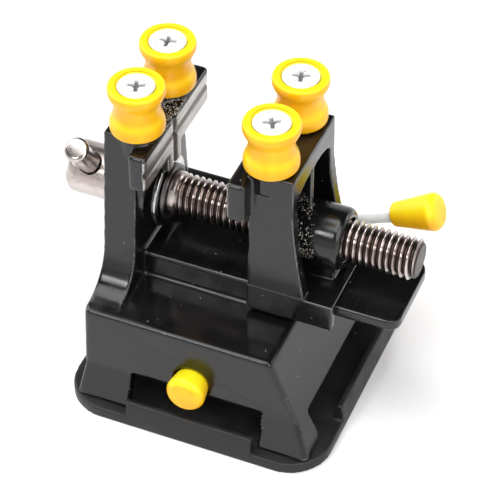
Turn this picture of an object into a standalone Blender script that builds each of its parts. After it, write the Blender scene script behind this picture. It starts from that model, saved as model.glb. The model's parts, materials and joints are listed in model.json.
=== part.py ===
"""Small bench vise with a suction base, for holding circuit boards.

The screw axis runs along X, the lever shaft along Y, and the vise stands on Z = 0 with the
centre of its rubber pad at the origin. Sizes below are in millimetres.
"""

import math

import bmesh
import bpy
from mathutils import Matrix, Vector

MM = 0.001
GAP = 0.3                      # clearance between neighbouring pieces

# Base casting
WALL = 3.0
BASE_BOTTOM = 3.1
FLARE_TOP = 11.0
BASE_TOP = 26.1
BASE_LEFT = -27.0
FOOT_X = 28.0
FOOT_RIGHT_X = 27.5
FOOT_Y = 30.0
BASE_HALF_Y = 27.3
BASE_TOP_HALF_Y = 26.3
RIGHT_FLARE_X = 24.0
RIGHT_TOP_X = 17.0
NOTCH_HALF = 15.5
NOTCH_TOP = 11.2
SIDE_NOTCH_HALF = 21.5
SIDE_NOTCH_TOP = 9.8

# Rail
RAIL_HALF_Y = 10.4
RAIL_TOP = 32.4
RAIL_PLATE = 2.8
RAIL_END = 40.0
RAIL_CORNER = 3.0

# Jaws
JAW_TOP = 66.0
COLUMN_HALF_Y = 12.0
COLUMN_INNER_X = -19.5
FIXED_FACE_X = -15.9
BLOCK_FRONT_Y = -16.0
BLOCK_BACK_Y = 18.4
FIXED_BLOCK_BOTTOM = 55.2
MOVING_BLOCK_BOTTOM = 54.5
BLOCK_TOP = 64.6
GROOVE_WIDTH = 2.0
GROOVE_DEPTH = 0.7
MOVING_FACE_X = 2.5
MOVING_COLUMN_X = 6.3
MOVING_TOP_X = 16.3
MOVING_FOOT_X = 19.4
SADDLE_END = 26.0
SADDLE_BOTTOM = 27.4
SADDLE_TOP = 34.3
SADDLE_HALF_Y = 13.05
BOSS_R = 7.1
BOSS_END = 24.5

# Lead screw, M10 x 1.5
SCREW_Z = 42.8
THREAD_R = 4.75
THREAD_ROOT_R = 3.95
PITCH = 1.5
THREAD_START = -14.7
THREAD_END = 41.05
SHANK_R = 4.9
HEAD_R = 6.0
HEAD_LEFT = -40.7
HEAD_RIGHT = -27.4
BORE_R = 5.05

# Tommy bar
BAR_X = -35.2
BAR_ANGLE = math.radians(55.0)
BAR_R = 2.45
BAR_END_R = 2.8
BAR_HOLE_R = 2.75
BAR_NEAR = 16.9
BAR_FAR = 33.1

# Pegs and their screws
FIXED_PEG_X = -20.9
MOVING_PEG_X = 9.7
PEG_Y = 8.13
SEAT_R = 4.5
PEG_R = 6.25
PEG_WAIST_R = 5.1
PEG_HEIGHT = 11.65
PEG_HOLE_R = 2.3
PEG_SCREW_R = 2.0
PEG_SCREW_HEAD_R = 4.15
PEG_SCREW_TIP = 61.7

# Suction lever
SHAFT_X = -1.2
SHAFT_Z = 13.6
ROD_R = 1.9
LEVER_Y = 30.3
LEVER_ANGLE = math.radians(23.3)
LEVER_REACH = 40.4
BEND_R = 4.0
FRONT_END_Y = -31.8
CAP_LENGTH = 12.0
CAP_NECK_R = 2.8
CAP_END_R = 4.55
CAP_HOLE_R = 4.35
CAM_R = 4.5
CAM_OFFSET = 1.4
CAM_HALF_Y = 3.0
LEVER_SWEEP = math.radians(134.0)

# Rubber pad and its stem
PAD_LEFT = -31.3
PAD_RIGHT = 30.5
PAD_Y = 32.5
PAD_CORNER = 10.0
PAD_TOP = 2.8
ARC_STEPS = 10
TAB_HALF = 15.0
TAB_TOP = 7.0
FOOT_R = 10.0
FOOT_THICK = 1.5
STEM_HALF_X = 8.2


def clear_scene():
    for item in list(bpy.data.objects):
        bpy.data.objects.remove(item, do_unlink=True)


def new_collection(name):
    collection = bpy.data.collections.new(name)
    bpy.context.scene.collection.children.link(collection)
    return collection


def make_material(name, colour, metallic, roughness):
    material = bpy.data.materials.new(name)
    material.use_nodes = True
    shader = material.node_tree.nodes["Principled BSDF"]
    shader.inputs["Base Color"].default_value = (*colour, 1.0)
    shader.inputs["Metallic"].default_value = metallic
    shader.inputs["Roughness"].default_value = roughness
    return material


def place(name, mesh, collection, material=None):
    item = bpy.data.objects.new(name, mesh)
    collection.objects.link(item)
    if material:
        mesh.materials.append(material)
    if collection is CUTTERS:
        item.hide_render = True
        item.display_type = "WIRE"
    return item


def box(name, low, high, collection, bevel=0.0, edges="XYZ"):
    """A box between two corners; edges names the directions of the edges that are rounded."""
    mesh = bpy.data.meshes.new(name)
    bm = bmesh.new()
    bmesh.ops.create_cube(bm, size=1.0)
    size = [(b - a) * MM for a, b in zip(low, high)]
    centre = [(a + b) / 2 * MM for a, b in zip(low, high)]
    bmesh.ops.scale(bm, vec=size, verts=bm.verts)
    if bevel:
        chosen = []
        for edge in bm.edges:
            run = edge.verts[0].co - edge.verts[1].co
            axis = max(range(3), key=lambda i: abs(run[i]))
            if "XYZ"[axis] in edges:
                chosen.append(edge)
        bmesh.ops.bevel(bm, geom=chosen, offset=bevel * MM, segments=2, profile=0.5,
                        affect="EDGES", material=-1)
    bmesh.ops.translate(bm, vec=centre, verts=bm.verts)
    bm.to_mesh(mesh)
    bm.free()
    return place(name, mesh, collection)


def cylinder(name, start, end, radius, collection, segments=32, end_radius=None):
    """A round bar between two points, or a cone when end_radius is given."""
    start = Vector(start) * MM
    end = Vector(end) * MM
    along = end - start
    mesh = bpy.data.meshes.new(name)
    bm = bmesh.new()
    bmesh.ops.create_cone(bm, cap_ends=True, segments=segments, radius1=radius * MM,
                          radius2=(end_radius or radius) * MM, depth=along.length)
    turn = along.to_track_quat("Z", "Y").to_matrix().to_4x4()
    bmesh.ops.transform(bm, matrix=Matrix.Translation((start + end) / 2) @ turn, verts=bm.verts)
    bm.to_mesh(mesh)
    bm.free()
    return place(name, mesh, collection)


def mesh_from_curve(name, curve, matrix, collection):
    """Turns a curve into a closed mesh with its caps welded on."""
    source = bpy.data.objects.new(name + "_curve", curve)
    bpy.context.scene.collection.objects.link(source)
    graph = bpy.context.evaluated_depsgraph_get()
    mesh = bpy.data.meshes.new_from_object(source.evaluated_get(graph))
    bm = bmesh.new()
    bm.from_mesh(mesh)
    bmesh.ops.remove_doubles(bm, verts=bm.verts, dist=0.000001)
    bmesh.ops.transform(bm, matrix=matrix, verts=bm.verts)
    bmesh.ops.recalc_face_normals(bm, faces=bm.faces)
    bm.to_mesh(mesh)
    bm.free()
    bpy.data.objects.remove(source, do_unlink=True)
    return place(name, mesh, collection)


def prism(name, outline, low, high, plane, collection):
    """A flat outline in the XY, XZ or YZ plane, extruded from low to high along the third axis."""
    curve = bpy.data.curves.new(name, "CURVE")
    curve.dimensions = "2D"
    curve.fill_mode = "BOTH"
    curve.extrude = (high - low) / 2 * MM
    spline = curve.splines.new("POLY")
    spline.points.add(len(outline) - 1)
    for point, (u, v) in zip(spline.points, outline):
        point.co = (u * MM, v * MM, 0.0, 1.0)
    spline.use_cyclic_u = True
    middle = (low + high) / 2 * MM
    if plane == "XY":
        matrix = Matrix.Translation((0, 0, middle))
    elif plane == "XZ":
        matrix = Matrix.Translation((0, middle, 0)) @ Matrix.Rotation(math.pi / 2, 4, "X")
    else:
        matrix = Matrix(((0, 0, 1, middle), (1, 0, 0, 0), (0, 1, 0, 0), (0, 0, 0, 1)))
    return mesh_from_curve(name, curve, matrix, collection)


def turned(name, profile, origin, axis, collection, steps=32):
    """A ring or solid turned about an axis: profile holds (radius, height) from top to bottom."""
    mesh = bpy.data.meshes.new(name)
    bm = bmesh.new()
    points = [bm.verts.new((r * MM, 0.0, h * MM)) for r, h in profile]
    closed = min(r for r, h in profile) > 0.0
    pairs = list(zip(points, points[1:]))
    if closed:
        pairs.append((points[-1], points[0]))
    for pair in pairs:
        bm.edges.new(pair)
    bmesh.ops.spin(bm, geom=bm.verts[:] + bm.edges[:], cent=(0, 0, 0), axis=(0, 0, 1),
                   angle=2 * math.pi, steps=steps, use_merge=True)
    bmesh.ops.remove_doubles(bm, verts=bm.verts, dist=0.000001)
    bmesh.ops.recalc_face_normals(bm, faces=bm.faces)
    turn = Vector(axis).to_track_quat("Z", "Y").to_matrix().to_4x4()
    bmesh.ops.transform(bm, matrix=turn, verts=bm.verts)
    bm.to_mesh(mesh)
    bm.free()
    item = place(name, mesh, collection)
    item.location = Vector(origin) * MM
    return item


def combine(target, tool, operation):
    modifier = target.modifiers.new(tool.name, "BOOLEAN")
    modifier.object = tool
    modifier.operation = operation
    modifier.solver = "EXACT"


def add(target, *tools):
    for tool in tools:
        combine(target, tool, "UNION")


def cut(target, *tools):
    for tool in tools:
        combine(target, tool, "DIFFERENCE")


def finish(item, material, centre=None):
    """Gives a piece its material and puts its origin at centre, given in millimetres."""
    item.data.materials.clear()
    item.data.materials.append(material)
    item.data.shade_smooth()
    item.data.set_sharp_from_angle(angle=math.radians(35))
    if centre is not None:
        shift = Vector(centre) * MM - item.location
        item.data.transform(Matrix.Translation(-shift))
        item.location += shift


def mirrored(points):
    """Completes an outline that is symmetric about the first coordinate."""
    return points + [(-u, v) for u, v in reversed(points)]


def base_front_outline(inset, bottom):
    """The base seen from the front; the flared lip runs on down to the given bottom."""
    drop = (FLARE_TOP - bottom) / (FLARE_TOP - BASE_BOTTOM)
    left = BASE_LEFT - (FOOT_X + BASE_LEFT) * drop
    right = RIGHT_FLARE_X + (FOOT_RIGHT_X - RIGHT_FLARE_X) * drop
    return [(left + inset, bottom), (right - inset, bottom),
            (RIGHT_FLARE_X - inset, FLARE_TOP), (RIGHT_TOP_X - inset, BASE_TOP - inset),
            (BASE_LEFT + inset, BASE_TOP - inset), (BASE_LEFT + inset, FLARE_TOP)]


def base_side_outline(inset, bottom):
    drop = (FLARE_TOP - bottom) / (FLARE_TOP - BASE_BOTTOM)
    foot = BASE_HALF_Y + (FOOT_Y - BASE_HALF_Y) * drop
    return mirrored([(foot - inset, bottom), (BASE_HALF_Y - inset, FLARE_TOP),
                     (BASE_TOP_HALF_Y - inset, BASE_TOP - inset)])


def tapered_block(name, inset, bottom, collection):
    """The space between the base's front outline and its side outline."""
    block = prism(name, base_front_outline(inset, bottom), -40, 40, "XZ", collection)
    side = prism(name + "_side", base_side_outline(inset, bottom), -40, 40, "YZ", CUTTERS)
    combine(block, side, "INTERSECT")
    return block


def column_side_outline():
    """The fixed jaw seen along the screw: tapered, then swept out to the base's edges."""
    outer = BASE_TOP_HALF_Y - 1.3
    sweep = outer - 14.7
    edge = [(COLUMN_HALF_Y, JAW_TOP)]
    for step in range(ARC_STEPS + 1):
        angle = math.radians(90 * step / ARC_STEPS)
        edge.append((outer - sweep * math.cos(angle), BASE_TOP + sweep - sweep * math.sin(angle)))
    edge.append((outer, BASE_TOP - 1.5))
    return mirrored(edge)


def cut_peg_holes(casting, prefix, x):
    for side, y in (("front", -PEG_Y), ("back", PEG_Y)):
        hole = cylinder(f"{prefix}_{side}_hole", (x, y, PEG_SCREW_TIP - GAP), (x, y, JAW_TOP + 1),
                        PEG_SCREW_R + GAP, CUTTERS, segments=20)
        cut(casting, hole)


def add_peg_seats(casting, prefix, x):
    for side, y in (("front", -PEG_Y), ("back", PEG_Y)):
        seat = cylinder(f"{prefix}_{side}_seat", (x, y, JAW_TOP - 5), (x, y, JAW_TOP),
                        SEAT_R, CUTTERS)
        add(casting, seat)


def jaw_block(prefix, face_x, back_x, bottom):
    low_x, high_x = sorted((face_x, back_x))
    return box(f"{prefix}_block", (low_x, BLOCK_FRONT_Y, bottom),
               (high_x, BLOCK_BACK_Y, BLOCK_TOP), CUTTERS, bevel=0.8, edges="XYZ")


def cut_jaw_grooves(casting, prefix, face_x, bottom):
    """A level V groove and an upright one for round or small work."""
    half = GROOVE_WIDTH / 2
    deep = GROOVE_DEPTH
    level = (bottom + BLOCK_TOP) / 2
    diamond = [(face_x - deep, level), (face_x, level - half), (face_x + deep, level),
               (face_x, level + half)]
    cut(casting, prism(f"{prefix}_level_groove", diamond, -20, 20, "XZ", CUTTERS))
    upright = [(face_x - deep, 0.0), (face_x, -half), (face_x + deep, 0.0), (face_x, half)]
    cut(casting, prism(f"{prefix}_upright_groove", upright, bottom - 5, JAW_TOP + 1, "XY",
                       CUTTERS))


def rail_outline():
    """The rail seen from above, with rounded corners at its free end."""
    middle = (RAIL_END - RAIL_CORNER, RAIL_HALF_Y - RAIL_CORNER)
    outline = [(-22, RAIL_HALF_Y)]
    for step in range(ARC_STEPS + 1):
        angle = math.radians(90 - 90 * step / ARC_STEPS)
        outline.append((middle[0] + RAIL_CORNER * math.cos(angle),
                        middle[1] + RAIL_CORNER * math.sin(angle)))
    return outline + [(x, -y) for x, y in reversed(outline)]


def build_base_casting():
    base = tapered_block("base_casting", 0.0, BASE_BOTTOM - 3, PARTS)
    rounding = base.modifiers.new("edge_rounding", "BEVEL")
    rounding.width = 0.8 * MM
    rounding.segments = 2
    rounding.limit_method = "ANGLE"
    rounding.angle_limit = math.radians(40)
    base.modifiers.new("flat_faces", "TRIANGULATE")
    cut(base, box("below_base", (-50, -50, -20), (50, 50, BASE_BOTTOM), CUTTERS))
    cut(base, tapered_block("base_hollow", WALL, BASE_BOTTOM - 1, CUTTERS))
    for name, low, high, top in (
            ("front", (-NOTCH_HALF, -40), (NOTCH_HALF, -15), NOTCH_TOP),
            ("back", (-NOTCH_HALF, 15), (NOTCH_HALF, 40), NOTCH_TOP),
            ("left", (-40, -NOTCH_HALF), (-15, NOTCH_HALF), NOTCH_TOP),
            ("right", (15, -SIDE_NOTCH_HALF), (40, SIDE_NOTCH_HALF), SIDE_NOTCH_TOP)):
        cut(base, box(f"notch_{name}", (*low, 0), (*high, top), CUTTERS))

    rail_foot = box("rail_foot", (-20, -RAIL_HALF_Y, BASE_TOP - 2),
                    (RIGHT_TOP_X - 0.6, RAIL_HALF_Y, RAIL_TOP - 1), CUTTERS)
    rail_plate = prism("rail_plate", rail_outline(), RAIL_TOP - RAIL_PLATE, RAIL_TOP, "XY", CUTTERS)
    column = prism("fixed_column", column_side_outline(), BASE_LEFT - 0.1, COLUMN_INNER_X, "YZ",
                   CUTTERS)
    block = jaw_block("fixed", FIXED_FACE_X, COLUMN_INNER_X - 0.5, FIXED_BLOCK_BOTTOM)
    web = box("fixed_web", (COLUMN_INNER_X - 0.5, -3.3, SCREW_Z + 8.3),
              (FIXED_FACE_X - 0.05, 3.3, FIXED_BLOCK_BOTTOM + 1), CUTTERS)
    seat = cylinder("washer_seat", (COLUMN_INNER_X - 0.5, 0, SCREW_Z),
                    (COLUMN_INNER_X + 0.5, 0, SCREW_Z), 7.5, CUTTERS)
    add(base, rail_foot, rail_plate, column, block, web, seat)
    add_peg_seats(base, "fixed", FIXED_PEG_X)

    cut_jaw_grooves(base, "fixed", FIXED_FACE_X, FIXED_BLOCK_BOTTOM)
    cut(base, cylinder("screw_bearing", (BASE_LEFT - 1, 0, SCREW_Z),
                       (COLUMN_INNER_X + 2, 0, SCREW_Z), SHANK_R + GAP, CUTTERS))
    cut_peg_holes(base, "fixed", FIXED_PEG_X)
    cut(base, cylinder("cap_hole", (SHAFT_X, -40, SHAFT_Z), (SHAFT_X, -20, SHAFT_Z), CAP_HOLE_R,
                       CUTTERS))
    cut(base, cylinder("rod_hole", (SHAFT_X, 20, SHAFT_Z), (SHAFT_X, 40, SHAFT_Z), ROD_R + GAP,
                       CUTTERS, segments=20))
    finish(base, BLACK_PAINT)


def moving_front_outline():
    """The moving column seen from the front, with an outer side that spreads towards the rail."""
    edge = [(MOVING_COLUMN_X, JAW_TOP), (MOVING_TOP_X, JAW_TOP)]
    spread = MOVING_FOOT_X - MOVING_TOP_X
    drop = 56.0 - SADDLE_TOP
    for step in range(ARC_STEPS + 1):
        share = step / ARC_STEPS
        edge.append((MOVING_TOP_X + spread * share ** 1.4, 56.0 - drop * share))
    return edge + [(MOVING_FOOT_X, SADDLE_TOP - 1.0), (MOVING_COLUMN_X, SADDLE_TOP - 1.0)]


def build_movable_jaw():
    jaw = prism("movable_jaw", moving_front_outline(), -30, 30, "XZ", PARTS)
    side_outline = mirrored([(SADDLE_HALF_Y - 0.05, SADDLE_TOP - 2), (COLUMN_HALF_Y, JAW_TOP + 1)])
    combine(jaw, prism("moving_side", side_outline, -40, 40, "YZ", CUTTERS), "INTERSECT")

    arch = [(10.0, SADDLE_TOP), (9.3, 58.2)]
    for step in range(1, 2 * ARC_STEPS):
        angle = math.radians(90 * step / ARC_STEPS)
        arch.append((9.3 * math.cos(angle), 58.2 + 2.9 * math.sin(angle)))
    arch += [(-9.3, 58.2), (-10.0, SADDLE_TOP)]
    hollow = prism("moving_hollow", arch, MOVING_COLUMN_X + WALL, 30, "YZ", CUTTERS)
    cut(jaw, hollow)

    saddle = box("saddle", (MOVING_COLUMN_X - 0.3, -SADDLE_HALF_Y, SADDLE_BOTTOM),
                 (SADDLE_END, SADDLE_HALF_Y, SADDLE_TOP), CUTTERS)
    boss_profile = [(0, BOSS_END), (BOSS_R - 1.0, BOSS_END), (BOSS_R - 0.3, BOSS_END - 0.4),
                    (BOSS_R, BOSS_END - 1.2), (BOSS_R, MOVING_COLUMN_X + 0.5),
                    (0, MOVING_COLUMN_X + 0.5)]
    boss = turned("screw_boss", boss_profile, (0, 0, SCREW_Z), (1, 0, 0), CUTTERS, steps=48)
    web = box("moving_web", (MOVING_COLUMN_X + 1, -0.7, SCREW_Z + BOSS_R - 1),
              (MOVING_TOP_X - 0.2, 0.7, JAW_TOP - 4), CUTTERS)
    stool = box("boss_stool", (MOVING_COLUMN_X + 1, -4.5, SADDLE_TOP - 1),
                (SADDLE_END - 3, 4.5, SCREW_Z - 4), CUTTERS)
    block = jaw_block("moving", MOVING_FACE_X, MOVING_COLUMN_X + 0.5, MOVING_BLOCK_BOTTOM)
    add(jaw, saddle, boss, web, stool, block)
    add_peg_seats(jaw, "moving", MOVING_PEG_X)

    cut_jaw_grooves(jaw, "moving", MOVING_FACE_X, MOVING_BLOCK_BOTTOM)
    cut(jaw, cylinder("nut_bore", (MOVING_FACE_X - 1, 0, SCREW_Z), (BOSS_END + 1, 0, SCREW_Z),
                      BORE_R, CUTTERS))
    cut_peg_holes(jaw, "moving", MOVING_PEG_X)
    cut(jaw, box("rail_channel", (0, -RAIL_HALF_Y - GAP, SADDLE_BOTTOM - 5),
                 (40, RAIL_HALF_Y + GAP, RAIL_TOP + GAP), CUTTERS))
    finish(jaw, BLACK_PAINT, (MOVING_FACE_X, 0, SCREW_Z))


def build_peg(name, x, y):
    """A spool with rounded rims, a waist and a countersunk hole."""
    top = PEG_HEIGHT
    rim = PEG_R
    head = PEG_SCREW_HEAD_R + 0.45
    profile = [(head, top), (rim - 0.9, top), (rim - 0.2, top - 0.4), (rim, top - 1.1),
               (rim - 0.15, top - 2.2), (PEG_WAIST_R + 0.25, top - 3.9), (PEG_WAIST_R, top / 2),
               (PEG_WAIST_R + 0.2, 3.7), (rim - 0.35, 2.0), (rim - 0.2, 1.0), (rim - 0.6, 0.2),
               (rim - 1.2, 0.0), (PEG_HOLE_R, 0.0), (PEG_HOLE_R, top - head + PEG_HOLE_R)]
    peg = turned(name, profile, (x, y, JAW_TOP + GAP), (0, 0, 1), PARTS, steps=24)
    finish(peg, YELLOW_PLASTIC)


def build_peg_screw(name, x, y):
    """A countersunk screw with a cross recess."""
    top = JAW_TOP + GAP + PEG_HEIGHT - 0.1
    head = PEG_SCREW_HEAD_R
    profile = [(0, 0), (head - 0.2, 0), (head, -0.2), (PEG_SCREW_R, -0.2 - head + PEG_SCREW_R),
               (PEG_SCREW_R, PEG_SCREW_TIP - top + 0.4), (PEG_SCREW_R - 0.4, PEG_SCREW_TIP - top),
               (0, PEG_SCREW_TIP - top)]
    screw = turned(name, profile, (x, y, top), (0, 0, 1), PARTS, steps=20)
    for turn in range(2):
        long, short = 2.3, 0.45
        half = (long, short) if turn == 0 else (short, long)
        slot = box(f"{name}_slot_{turn}", (x - half[0], y - half[1], top - 1.5),
                   (x + half[0], y + half[1], top + 1), CUTTERS)
        cut(screw, slot)
    finish(screw, ZINC)


def build_pegs():
    for jaw, x in (("fixed", FIXED_PEG_X), ("moving", MOVING_PEG_X)):
        for side, y in (("front", -PEG_Y), ("back", PEG_Y)):
            build_peg(f"peg_{jaw}_{side}", x, y)
            build_peg_screw(f"peg_screw_{jaw}_{side}", x, y)


def build_lead_screw():
    """A turned head and shank joined to a threaded rod."""
    head = HEAD_R
    profile = [(0, THREAD_START), (SHANK_R, THREAD_START), (SHANK_R, -16.3), (SHANK_R - 0.8, -16.3),
               (SHANK_R - 0.8, -17.4), (SHANK_R, -17.4), (SHANK_R, HEAD_RIGHT),
               (head - 0.4, HEAD_RIGHT), (head, HEAD_RIGHT - 0.4), (head, HEAD_LEFT + 0.6),
               (head - 0.6, HEAD_LEFT), (0, HEAD_LEFT)]
    screw = turned("lead_screw", profile, (0, 0, SCREW_Z), (1, 0, 0), PARTS, steps=28)
    add(screw, threaded_rod("thread", THREAD_START - 0.7, THREAD_END))
    reach = Vector((0, -math.cos(BAR_ANGLE), math.sin(BAR_ANGLE))) * 10
    centre = Vector((BAR_X, 0, SCREW_Z))
    cut(screw, cylinder("bar_hole", centre - reach, centre + reach, BAR_HOLE_R, CUTTERS,
                        segments=20))
    finish(screw, NICKEL)


def threaded_rod(name, start, end):
    """A rod whose radius follows a single-start thread of the given pitch."""
    length = end - start
    rings = round(length / PITCH * 3)
    mesh = bpy.data.meshes.new(name)
    bm = bmesh.new()
    bmesh.ops.create_cone(bm, cap_ends=True, segments=12, radius1=1.0, radius2=1.0, depth=length)
    sides = [edge for edge in bm.edges if abs(edge.verts[0].co.z - edge.verts[1].co.z) > 0.1]
    bmesh.ops.subdivide_edges(bm, edges=sides, cuts=rings - 1, use_grid_fill=True)
    for vert in bm.verts:
        angle = math.atan2(vert.co.y, vert.co.x)
        along = vert.co.z + length / 2 + start
        phase = (along / PITCH - angle / (2 * math.pi)) % 1.0
        crest = 1.0 - abs(2.0 * phase - 1.0)
        at_end = abs(abs(vert.co.z) - length / 2) < 0.01
        radius = THREAD_ROOT_R + (0.0 if at_end else (THREAD_R - THREAD_ROOT_R) * crest)
        vert.co = (radius * math.cos(angle) * MM, radius * math.sin(angle) * MM, along * MM)
    bmesh.ops.triangulate(bm, faces=[face for face in bm.faces if len(face.verts) == 4])
    turn = Matrix.Rotation(math.pi / 2, 4, "Y")
    bmesh.ops.transform(bm, matrix=Matrix.Translation((0, 0, SCREW_Z * MM)) @ turn, verts=bm.verts)
    bmesh.ops.recalc_face_normals(bm, faces=bm.faces)
    bm.to_mesh(mesh)
    bm.free()
    return place(name, mesh, CUTTERS)


def build_screw_fittings():
    """The thrust washer against the fixed jaw and the open clip that keeps the screw in."""
    face = COLUMN_INNER_X + 0.5 + GAP
    washer = turned("thrust_washer", [(SHANK_R + GAP, 1.2), (7.9, 1.2), (8.2, 0.9), (8.2, 0.0),
                                      (SHANK_R + GAP, 0.0)],
                    (face, 0, SCREW_Z), (1, 0, 0), PARTS)
    finish(washer, CHROME)
    clip = turned("retaining_clip", [(SHANK_R - 0.6, 0.8), (6.3, 0.8), (6.3, 0.0),
                                     (SHANK_R - 0.6, 0.0)],
                  (-17.25, 0, SCREW_Z), (1, 0, 0), PARTS, steps=28)
    cut(clip, box("clip_mouth", (-18, -1.8, SCREW_Z - 8), (-16, 1.8, SCREW_Z), CUTTERS))
    finish(clip, SPRING_STEEL)


def build_tommy_bar():
    near, far, end = BAR_NEAR, -BAR_FAR, BAR_END_R
    profile = [(0, near), (end - 0.3, near), (end, near - 0.3), (end, near - 1.0),
               (BAR_R, near - 1.5), (BAR_R, far + 1.5), (end, far + 1.0), (end, far + 0.3),
               (end - 0.3, far), (0, far)]
    axis = (0, -math.cos(BAR_ANGLE), math.sin(BAR_ANGLE))
    bar = turned("tommy_bar", profile, (BAR_X, 0, SCREW_Z), axis, PARTS, steps=20)
    finish(bar, NICKEL)


def lever_direction():
    return Vector((math.cos(LEVER_ANGLE), 0, math.sin(LEVER_ANGLE)))


def build_lever():
    """The bent rod, its two caps and the cam, with their origins on the shaft's axis."""
    along = lever_direction()
    corner = Vector((SHAFT_X, LEVER_Y, SHAFT_Z))
    route = [Vector((SHAFT_X, FRONT_END_Y + 2.5, SHAFT_Z))]
    for step in range(ARC_STEPS + 1):
        angle = math.radians(90 * step / ARC_STEPS)
        route.append(corner + Vector((0, -BEND_R * (1 - math.sin(angle)), 0))
                     + along * BEND_R * (1 - math.cos(angle)))
    route.append(corner + along * (LEVER_REACH - 2.5))
    curve = bpy.data.curves.new("lever_rod", "CURVE")
    curve.dimensions = "3D"
    curve.bevel_depth = ROD_R * MM
    curve.bevel_resolution = 3
    curve.use_fill_caps = True
    spline = curve.splines.new("POLY")
    spline.points.add(len(route) - 1)
    for point, place_mm in zip(spline.points, route):
        point.co = (*(place_mm * MM), 1.0)
    rod = mesh_from_curve("lever_rod", curve, Matrix.Identity(4), PARTS)
    finish(rod, CHROME, (SHAFT_X, 0, SHAFT_Z))

    socket = ROD_R + GAP
    cap = [(0, 0), (CAP_END_R - 1.6, 0), (CAP_END_R - 0.5, -0.5), (CAP_END_R, -1.7),
           (CAP_NECK_R, -CAP_LENGTH), (socket, -CAP_LENGTH), (socket, -2.2), (0, -2.2)]
    tip = corner + along * LEVER_REACH
    lever_cap = turned("lever_cap", cap, tip, along, PARTS, steps=24)
    finish(lever_cap, YELLOW_PLASTIC, (SHAFT_X, 0, SHAFT_Z))
    shaft_cap = turned("shaft_cap", cap, (SHAFT_X, FRONT_END_Y, SHAFT_Z), (0, -1, 0), PARTS,
                       steps=24)
    finish(shaft_cap, YELLOW_PLASTIC, (SHAFT_X, 0, SHAFT_Z))

    angle = -LEVER_SWEEP / 2
    centre = Vector((SHAFT_X + CAM_OFFSET * math.cos(angle), 0, SHAFT_Z + CAM_OFFSET * math.sin(angle)))
    reach = Vector((0, CAM_HALF_Y, 0))
    cam = cylinder("lever_cam", centre - reach, centre + reach, CAM_R, PARTS, segments=28)
    cut(cam, cylinder("cam_bore", (SHAFT_X, -9, SHAFT_Z), (SHAFT_X, 9, SHAFT_Z), ROD_R + GAP,
                      CUTTERS, segments=20))
    finish(cam, GREY_PLASTIC, (SHAFT_X, 0, SHAFT_Z))


def build_pad():
    """A rounded square of rubber with a tab turned up in each notch and a pocket for the stem."""
    outline = []
    corners = ((PAD_RIGHT - PAD_CORNER, PAD_Y - PAD_CORNER), (PAD_LEFT + PAD_CORNER, PAD_Y - PAD_CORNER),
               (PAD_LEFT + PAD_CORNER, PAD_CORNER - PAD_Y), (PAD_RIGHT - PAD_CORNER, PAD_CORNER - PAD_Y))
    for quarter, (x, y) in enumerate(corners):
        for step in range(ARC_STEPS + 1):
            angle = math.radians(90 * quarter + 90 * step / ARC_STEPS)
            outline.append((x + PAD_CORNER * math.cos(angle), y + PAD_CORNER * math.sin(angle)))
    pad = prism("suction_pad", outline, 0.0, PAD_TOP, "XY", PARTS)
    for name, edge, plane in (("front", -PAD_Y, "YZ"), ("back", PAD_Y, "YZ"),
                              ("left", PAD_LEFT, "XZ"), ("right", PAD_RIGHT, "XZ")):
        side = math.copysign(1, edge)
        tab = [(edge - 2.2 * side, 1.0), (edge - 0.05 * side, 1.0), (edge - 0.1 * side, 4.0),
               (edge - 0.5 * side, TAB_TOP), (edge - 1.9 * side, TAB_TOP)]
        add(pad, prism(f"tab_{name}", tab, -TAB_HALF, TAB_HALF, plane, CUTTERS))
    cut(pad, cylinder("stem_pocket", (SHAFT_X, 0, 1.2), (SHAFT_X, 0, 5), FOOT_R + GAP, CUTTERS))
    finish(pad, RUBBER)


def build_pad_stem():
    """A slotted plate round the cam, on a round foot that pulls the rubber up."""
    lift = CAM_OFFSET * math.sin(LEVER_SWEEP / 2)
    middle = SHAFT_Z - lift
    slot_half_z = CAM_R + 0.5
    slot_half_x = CAM_R + CAM_OFFSET + 0.5
    top = middle + slot_half_z + 1.7
    stem = cylinder("pad_stem", (SHAFT_X, 0, 1.5), (SHAFT_X, 0, 1.5 + FOOT_THICK), FOOT_R, PARTS)
    plate = box("stem_plate", (SHAFT_X - STEM_HALF_X, -CAM_HALF_Y - 0.2, 2.4),
                (SHAFT_X + STEM_HALF_X, CAM_HALF_Y + 0.2, top), CUTTERS, bevel=1.0, edges="Y")
    add(stem, plate)
    cut(stem, box("stem_slot", (SHAFT_X - slot_half_x, -9, middle - slot_half_z),
                  (SHAFT_X + slot_half_x, 9, middle + slot_half_z), CUTTERS, bevel=1.5, edges="Y"))
    finish(stem, ZINC, (SHAFT_X, 0, 1.5))


clear_scene()
PARTS = new_collection("pcb_holder_vise")
CUTTERS = new_collection("cutters")
BLACK_PAINT = make_material("black_paint", (0.012, 0.012, 0.014), 0.0, 0.22)
YELLOW_PLASTIC = make_material("yellow_plastic", (0.95, 0.62, 0.02), 0.0, 0.35)
ZINC = make_material("zinc_plate", (0.62, 0.63, 0.64), 1.0, 0.3)
NICKEL = make_material("nickel_plate", (0.66, 0.62, 0.6), 1.0, 0.22)
CHROME = make_material("chrome", (0.75, 0.75, 0.76), 1.0, 0.1)
SPRING_STEEL = make_material("spring_steel", (0.25, 0.25, 0.26), 1.0, 0.35)
RUBBER = make_material("rubber", (0.02, 0.02, 0.02), 0.0, 0.55)
GREY_PLASTIC = make_material("grey_plastic", (0.3, 0.3, 0.3), 0.0, 0.5)

build_base_casting()
build_movable_jaw()
build_pegs()
build_lead_screw()
build_screw_fittings()
build_tommy_bar()
build_lever()
build_pad()
build_pad_stem()
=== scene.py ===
"""Looks of a small bench vise with a suction base: pieces, finishes, floor, lights and camera."""

import json
import math

import bmesh
import bpy
import numpy as np
from mathutils import Matrix, Vector


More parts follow.
